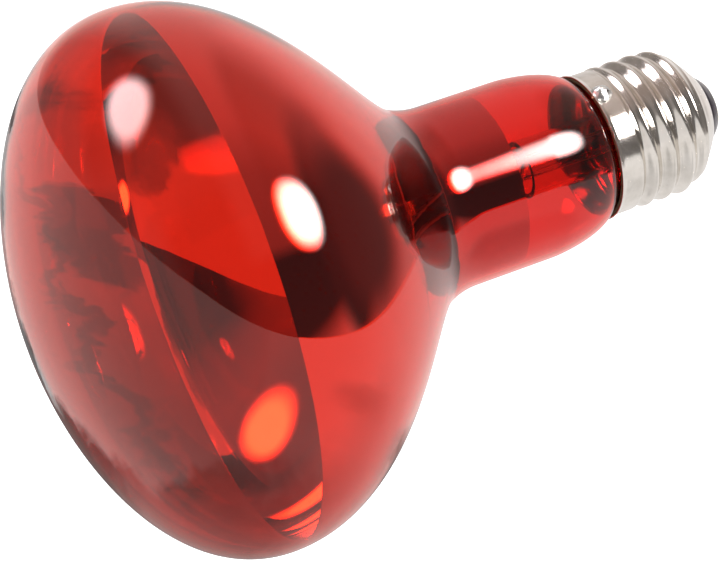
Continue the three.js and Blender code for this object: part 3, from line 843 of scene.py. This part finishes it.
def build_leads(stations):
    """The inner leads with their clamps on the filament's ends, the wires in the press, the outer leads."""
    for side, letter in ((-1, "a"), (1, "b")):
        x = side * LEAD_OFFSET
        tip = ring_point(-90 + side * FILAMENT_OPENING / 2, FILAMENT_RING,
                         FILAMENT_Z - FILAMENT_RADIUS - WELD_GAP - LEAD_RADIUS)
        path = centripetal([(x, 0, PRESS_TOP_Z + WELD_GAP), (x, 0, SHIELD_Z + 1),
                            (x * 1.05, -1.2, SHIELD_Z + 6), (x * 1.15, -6, SHIELD_Z + 13), tip], 10)
        ends = stations[-1 if side < 0 else 0], stations[-2 if side < 0 else 1]
        along = (ends[1] - ends[0]).normalized()        # the clamp grips the coil's last 1.4 mm
        clamp = sweep([ends[0] - along * 0.5, ends[0] + along * 1.4], CLAMP_RADIUS, 16)
        verts, faces = joined(sweep(path, LEAD_RADIUS), clamp)
        add_piece("lead_" + letter, verts, faces, WIRE, ["inner_lead_" + letter])
        verts, faces = sweep([Vector((x, 0, PRESS_LOW_Z + 0.1 + k)) for k in range(9)], SEAL_WIRE_RADIUS)
        add_piece("gripped_wire_" + letter, verts, faces, COPPER, ["seal_wire_" + letter])

    verts, faces = sweep(centripetal(SIDE_LEAD, 6), OUTER_LEAD_RADIUS)
    add_piece("side_lead", verts, faces, COPPER, ["outer_lead_side"])
    verts, faces = sweep(centripetal(CENTRE_LEAD, 6), OUTER_LEAD_RADIUS)
    add_piece("centre_lead", verts, faces, COPPER, ["outer_lead_centre"])


def build_supports():
    """A wire from the button to each corner of the filament's ring, with a hook round the coil."""
    reach = FILAMENT_Z - FILAMENT_RADIUS - WELD_GAP
    middle = (BUTTON_LOW_Z + BUTTON_HIGH_Z) / 2
    for i, azimuth in enumerate(filament_azimuths()[1:-1]):
        path = centripetal([ring_point(azimuth, BUTTON_RADIUS - 0.5, middle - 0.1),
                            ring_point(azimuth, BUTTON_RADIUS + 2.4, middle + 0.9),
                            ring_point(azimuth, FILAMENT_RING - 1.6, reach - 3.4),
                            ring_point(azimuth, FILAMENT_RING - 0.1, reach - 0.4)], 10)
        outwards = ring_point(azimuth, 1, 0)
        centre = ring_point(azimuth, FILAMENT_RING, FILAMENT_Z)
        hook = []
        for k in range(18):                             # 289 degrees round the coil
            a = math.radians(-100 + 17 * k)
            hook.append(centre + (outwards * math.cos(a) + Vector((0, 0, 1)) * math.sin(a)) * HOOK_RADIUS)
        verts, faces = sweep([*path[:-1], *hook], SUPPORT_RADIUS)
        add_piece(f"hook_{i + 1}", verts, faces, WIRE, [f"filament_support_{i + 1}"])


build_bulb()
build_cap()
build_stem()
build_shield()
build_leads(build_filament())
build_supports()

# ---------- camera, fitted to the photographed lamp's outline and cap ----------

CAMERA_AT = Vector((282.15, -218.78, 185.42)) * MM
CAMERA_FORWARD = Vector((-0.76856, 0.56573, -0.29876)).normalized()
CAMERA_UP = Vector((0.63913, 0.69988, -0.31887))
LENS = 109.86                   # for a sensor 36 mm wide


def build_camera():
    """The photographer's view."""
    data = bpy.data.cameras.new("camera")
    data.lens = LENS
    data.sensor_width = 36
    data.clip_start = 0.01
    data.clip_end = 50
    camera = bpy.data.objects.new("camera", data)
    bpy.context.scene.collection.objects.link(camera)
    right = CAMERA_FORWARD.cross(CAMERA_UP).normalized()
    up = right.cross(CAMERA_FORWARD)
    turn = Matrix((right, up, -CAMERA_FORWARD)).transposed().to_4x4()
    camera.matrix_world = Matrix.Translation(CAMERA_AT) @ turn
    bpy.context.scene.camera = camera


build_camera()

# ---------- stage: what the lamp stands on and what its glass and metal mirror ----------

VIEW_AZIMUTH = math.radians(-37.79)     # where the photographer stood, in the part's frame


def direction(relative_azimuth, elevation):
    """Unit vector at an azimuth counted from the photographer's, and an elevation, in degrees."""
    a = VIEW_AZIMUTH + math.radians(relative_azimuth)
    e = math.radians(elevation)
    return Vector((math.cos(a) * math.cos(e), math.sin(a) * math.cos(e), math.sin(e)))


def flat_card(name, half_width, half_height):
    """A flat rectangle about its own origin."""
    w, h = half_width, half_height
    mesh = bpy.data.meshes.new(name)
    mesh.from_pydata([(-w, -h, 0), (w, -h, 0), (w, h, 0), (-w, h, 0)], [], [(0, 1, 2, 3)])
    card = bpy.data.objects.new(name, mesh)
    bpy.context.scene.collection.objects.link(card)
    return card


def empty_material(name):
    """A material with no nodes but its output. Returns material, graph, output."""
    material = bpy.data.materials.new(name)
    material.use_nodes = True
    material.cycles.emission_sampling = "NONE"
    graph = Graph(material.node_tree)
    graph.nodes.clear()
    return material, graph, graph.add("OutputMaterial")


def only_seen_in_gloss(obj):
    """Hides a card from all but reflections and glass."""
    obj.visible_camera = False
    obj.visible_diffuse = False
    obj.visible_shadow = False


def glow_card(name, centre, target, width, height, colour, core, flat, power, corner=2.0):
    """A glowing card that faces target: full strength out to flat, a share of its reach, then fading.
    It is an oval when corner is 2 and gets closer to a rectangle above that."""
    card = flat_card(name, width / 2, height / 2)
    card.location = centre
    card.rotation_mode = "QUATERNION"
    card.rotation_quaternion = (target - centre).to_track_quat("Z", "Y")
    material, graph, output = empty_material(name)
    place = graph.parts(graph.object_coords((2 / width, 2 / height, 0)))
    powers = [graph.calc("POWER", graph.calc("ABSOLUTE", place[axis]), corner) for axis in ("X", "Y")]
    out = graph.calc("POWER", graph.calc("ADD", *powers), 1 / corner)
    mask = graph.calc("POWER", graph.fade(out, 1.0, flat), power)
    glow = graph.add("Emission", Color=(*colour, 1), Strength=core)
    graph.show_mix(output, mask, graph.add("BsdfTransparent"), glow)
    card.data.materials.append(material)
    only_seen_in_gloss(card)


# The lamp lay on a white table that touched its dome. The table's reflection is drawn on a card, in metres
# from that touch: near runs to the camera's side of the lamp, and down runs towards its cap. Stops are
# (place, brightness), and spots are (centre, radii).

TABLE_NORMAL = direction(65, -19.5)
TABLE_CONTACT = Vector((-0.0409, -0.0210, 0.1093))
TABLE_HALF = 3.0
TABLE_COLOUR = (1.0, 0.97, 0.96, 1)
EDGE_BROAD = (35, 0.018)        # noise scale and reach that make the shadows' edges ragged
EDGE_FINE = (150, 0.007)
BEHIND_STOPS = [(-0.60, 0.85), (-0.40, 0.80), (-0.36, 0.20), (-0.32, 0.18), (-0.30, 0.58), (-0.21, 0.60),
                (-0.20, 0.45), (-0.13, 0.40), (-0.10, 0.28), (-0.06, 0.21), (-0.05, 0.17), (0.0, 0.16),
                (0.03, 0.5), (0.07, 0.95), (0.10, 0.95)]
FRONT_STOPS = [(-0.12, 0.85), (-0.025, 0.42), (0.0, 0.34), (0.025, 0.66), (0.06, 0.78), (0.12, 0.88),
               (0.24, 0.95)]
DARK_PATCH = ((-0.170, 0.027), (0.045, 0.013))
NECK_SHADE = ((0.085, 0.116), (0.045, 0.03))
# course and edges of a thin painted shadow line on the table card
SHADOW_LINE_COURSE = [(-0.15, 0.014), (-0.12, 0.009), (-0.10, 0.006), (-0.06, 0.003), (0.0, 0.004)]
SHADOW_LINE_EDGES = (0.0012, 0.0035)
OPEN_NEAR = 0.98                # brightness of the table well clear of the lamp, on three sides
OPEN_BEHIND = 0.92
OPEN_PAST_DOME = 0.88


def jittered(graph, vector, scale, reach):
    """Coordinates shifted to and fro by noise, so that edges drawn with them come out ragged."""
    wobble = graph.add("TexNoise", Vector=vector, Scale=scale, Detail=3).outputs["Color"]
    centred = graph.calc("SUBTRACT", wobble, (0.5, 0.5, 0.5), kind="VectorMath", result="Vector")
    reaches = (2 * reach, 2 * reach, 0)
    return graph.calc("MULTIPLY_ADD", centred, reaches, vector, kind="VectorMath", result="Vector")


def ellipse(graph, vector, centre, radii):
    """1 on the ellipse, less inside it and more outside."""
    mapping = graph.add("Mapping", Vector=vector, Scale=(1 / radii[0], 1 / radii[1], 0),
                        Location=(-centre[0] / radii[0], -centre[1] / radii[1], 0))
    return graph.calc("LENGTH", mapping.outputs["Vector"], kind="VectorMath")


def build_table_card():
    """The white table that the lamp lay on, for reflections only, with the lamp's soft shadow on it."""
    along = (Vector((0, 0, 1)) - TABLE_NORMAL * TABLE_NORMAL.z).normalized()
    across = TABLE_NORMAL.cross(along)
    card = flat_card("table_card", TABLE_HALF, TABLE_HALF)
    turn = Matrix((across, -along, TABLE_NORMAL)).transposed()
    card.matrix_world = Matrix.Translation(TABLE_CONTACT - TABLE_NORMAL * MM) @ turn.to_4x4()
    material, graph, output = empty_material("table_card")
    vector = jittered(graph, graph.object_coords(), *EDGE_BROAD)
    vector = jittered(graph, vector, *EDGE_FINE)
    place = graph.parts(vector)
    near, down = place["X"], place["Y"]

    # the ground behind the lamp, with painted shade: bands of shadow, a dark patch and the thin dark line of
    # a shadow's edge
    behind = graph.grey_ramp(near, BEHIND_STOPS)
    patch = graph.fade(ellipse(graph, vector, *DARK_PATCH), 0.85, 1.15, 0.3, 1)
    behind = graph.calc("MULTIPLY", behind, patch)
    off_line = graph.calc("SUBTRACT", down, graph.grey_ramp(near, SHADOW_LINE_COURSE))
    line = graph.fade(graph.calc("ABSOLUTE", off_line), *SHADOW_LINE_EDGES, 0.45, 1)
    behind = graph.calc("MULTIPLY", behind, line)
    behind = graph.blend(graph.fade(down, 0.045, 0.085), behind, OPEN_BEHIND)

    # the ground in front of the lamp and past its dome, with the neck's shadow
    front = graph.grey_ramp(down, FRONT_STOPS)
    front = graph.blend(graph.fade(near, 0.04, 0.085), front, OPEN_NEAR)
    level = graph.blend(graph.fade(near, -0.020, 0.012), behind, front)
    shade = graph.fade(ellipse(graph, vector, *NECK_SHADE), 0.2, 1.8, 0.75, 1)
    level = graph.calc("MULTIPLY", level, shade)
    level = graph.blend(graph.fade(down, -0.024, -0.034), level, OPEN_PAST_DOME)
    glow = graph.add("Emission", Color=TABLE_COLOUR, Strength=level)
    graph.put(glow.outputs["Emission"], output.inputs["Surface"])
    card.data.materials.append(material)
    only_seen_in_gloss(card)


# The room round the table: stops are (degrees round from the photographer, brightness, warmth), one list
# for each band of height, and bands meet where the sine of the elevation goes from one number to the other.

HIGH_STOPS = [(-180, 0.45, 0.3), (-60, 0.9, 0.3), (-36, 0.06, 1), (-10, 0.04, 1), (25, 0.05, 1), (40, 0.2, 1),
              (62, 0.30, 1), (100, 0.16, 1), (112, 0.12, 0.8), (124, 0.25, 0.6), (147, 0.2, 0.5),
              (156, 0.65, 0.2), (166, 0.45, 0.2), (180, 0.45, 0.2)]
BELT_STOPS = [(-180, 1.0, 0.2), (-60, 0.9, 0.3), (-36, 0.05, 1), (-3, 0.04, 1), (3, 0.28, 1), (35, 0.36, 0.8),
              (60, 0.6, 0.6), (95, 0.7, 0.4), (112, 0.7, 0.4), (135, 0.7, 0.3), (180, 0.8, 0.2)]
LOW_STOPS = [(-180, 1.0, 0.2), (-60, 0.9, 0.3), (-36, 0.05, 1), (-3, 0.04, 1), (3, 0.28, 1), (35, 0.34, 1),
             (60, 0.52, 1), (95, 0.5, 0.8), (112, 0.6, 0.3), (135, 0.85, 0.2), (180, 1.0, 0.2)]
NADIR_STOPS = [(-180, 0.6, 0.3), (-100, 0.5, 0.3), (-75, 0.06, 1), (30, 0.07, 1), (60, 0.2, 0.8),
               (110, 0.4, 0.5), (140, 0.8, 0.3), (180, 0.8, 0.3)]
OVERHEAD = (0.30, 0.27, 0.26, 1)
UNDERFOOT = (0.10, 0.08, 0.07, 1)
BELT_TO_HIGH = (-0.22, 0.12)
LOW_TO_BELT = (-0.6, -0.45)
NADIR_TO_LOW = (-0.90, -0.80)
TO_OVERHEAD = (0.75, 0.97)
TO_UNDERFOOT = (-0.90, -0.98)
WARM_TINT = (1.0, 0.70, 0.58)
GLOSS_FILL = 0.12               # share of plain white in what shiny surfaces reflect directly
WHITE = (1, 1, 1, 1)
AMBIENT = 1.05


def room_ramp(graph, share, levels):
    """Colour round the room by azimuth, where share is 0.5 on the photographer's side."""
    stops = [((degrees + 180) / 360, [level * (1 - warmth * (1 - c)) for c in WARM_TINT])
             for degrees, level, warmth in levels]
    return graph.ramp(share, stops)


def build_world():
    """The room round the table, for reflections; plain white for everything else."""
    world = bpy.data.worlds.new("studio")
    bpy.context.scene.world = world
    world.use_nodes = True
    world.cycles.sampling_method = "NONE"
    graph = Graph(world.node_tree)
    graph.nodes.clear()
    look = graph.parts(graph.add("TexCoord").outputs["Generated"])
    height = look["Z"]
    azimuth = graph.calc("ARCTAN2", look["Y"], look["X"])
    turns = graph.calc("DIVIDE", graph.calc("SUBTRACT", azimuth, VIEW_AZIMUTH), 2 * math.pi)
    share = graph.calc("FRACT", graph.calc("ADD", turns, 1.5))
    low = room_ramp(graph, share, LOW_STOPS)
    belt = room_ramp(graph, share, BELT_STOPS)
    middle = graph.mixed(graph.fade(height, *LOW_TO_BELT), low, belt)
    high = room_ramp(graph, share, HIGH_STOPS)
    nadir = room_ramp(graph, share, NADIR_STOPS)
    room = graph.mixed(graph.fade(height, *BELT_TO_HIGH), middle, high)
    room = graph.mixed(graph.fade(height, *NADIR_TO_LOW), nadir, room)
    room = graph.mixed(graph.fade(height, *TO_OVERHEAD), room, OVERHEAD)
    room = graph.mixed(graph.fade(height, *TO_UNDERFOOT), room, UNDERFOOT)
    path = graph.add("LightPath")
    is_glossy, is_through = path.outputs["Is Glossy Ray"], path.outputs["Is Transmission Ray"]
    direct = graph.calc("SUBTRACT", is_glossy, is_through)
    fill = graph.mixed(graph.calc("MULTIPLY", direct, GLOSS_FILL), room, WHITE)
    mirrored = graph.add("Background", Color=fill)
    plain = graph.add("Background", Color=WHITE, Strength=AMBIENT)
    graph.show_mix(graph.add("OutputWorld"), graph.calc("MAXIMUM", is_glossy, is_through), plain, mirrored)


FLOOR_HALF = 6.0


def build_floor():
    """A white floor that doesn't show in glass or gloss, and is clear when seen from below."""
    floor = flat_card("floor", FLOOR_HALF, FLOOR_HALF)
    material, graph, shader = new_material(
        "floor", Base_Color=(0.85, 0.85, 0.85, 1), Roughness=0.9, Emission_Color=WHITE,
        Emission_Strength=0.95)
    below = graph.add("NewGeometry").outputs["Backfacing"]
    graph.show_mix(graph.nodes["Material Output"], below, shader, graph.add("BsdfTransparent"))
    material.cycles.emission_sampling = "NONE"
    floor.data.materials.append(material)
    floor.visible_glossy = False
    floor.visible_transmission = False
    floor.visible_shadow = False


LOW_BOX_AT = direction(13.5, 0) * 0.181 + Vector((0, 0, -0.075))
LOW_BOX_AIM = Vector((0, 0, 0.0135))
DOME_HIT = Vector((0.0452, 0.0007, 0.1102))     # where the upper soft box shows on the glass
HIGH_BOX_AT = DOME_HIT + direction(87, 26) * 3.0

build_world()
build_floor()
build_table_card()
glow_card("softbox_low", LOW_BOX_AT, LOW_BOX_AIM, width=0.12, height=0.15, colour=(1, 0.94, 0.93),
          core=28, flat=0.5, power=1.4, corner=2.3)
glow_card("softbox_high", HIGH_BOX_AT, DOME_HIT, width=1.85, height=2.6, colour=(1, 0.93, 0.98),
          core=13, flat=0.45, power=2.0)

# ---------- light paths --------------------------------

scene = bpy.context.scene
scene.view_settings.view_transform = "Standard"
scene.cycles.max_bounces = 32
scene.cycles.glossy_bounces = 16
scene.cycles.transmission_bounces = 24
scene.cycles.transparent_max_bounces = 16
